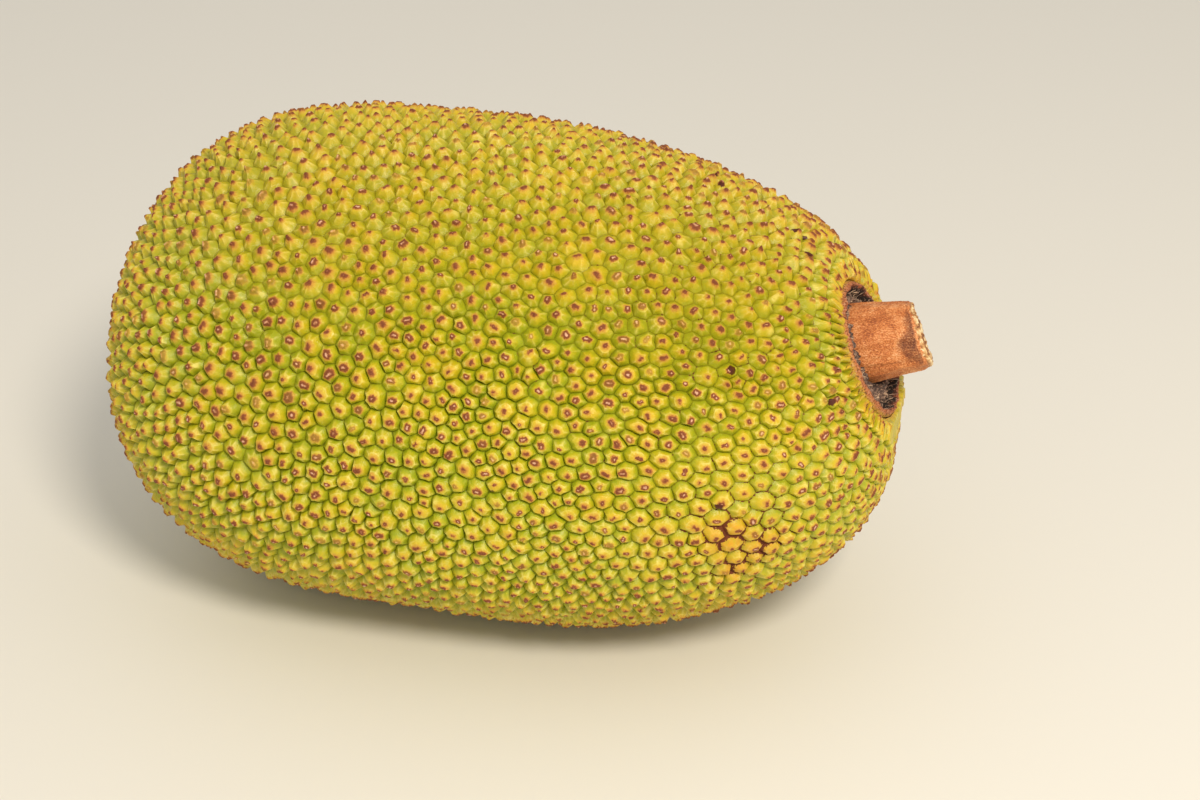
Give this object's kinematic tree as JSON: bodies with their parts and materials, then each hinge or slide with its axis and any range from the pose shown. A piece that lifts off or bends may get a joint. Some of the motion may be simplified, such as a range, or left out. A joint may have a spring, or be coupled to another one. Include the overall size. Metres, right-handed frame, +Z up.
{
  "type": "jackfruit",
  "caption": "Whole jackfruit lying on its side, its green-yellow rind covered with blunt tubercles, with a sawn-off woody stalk in a husk-lined pit at one end.",
  "frame": {"origin": "middle of the bounding box in plan, on the ground that the fruit rests on", "axes": "+X along the fruit towards its stalk end, +Z up"},
  "size_m": [0.3678, 0.228, 0.2204],
  "materials": {
    "rind": "satin",
    "husk": "rough",
    "stalk": "matte"
  },
  "bodies": {
    "root": {"fruit": "rind", "collar": "husk", "stalk": "stalk"}
  },
  "joints": []
}
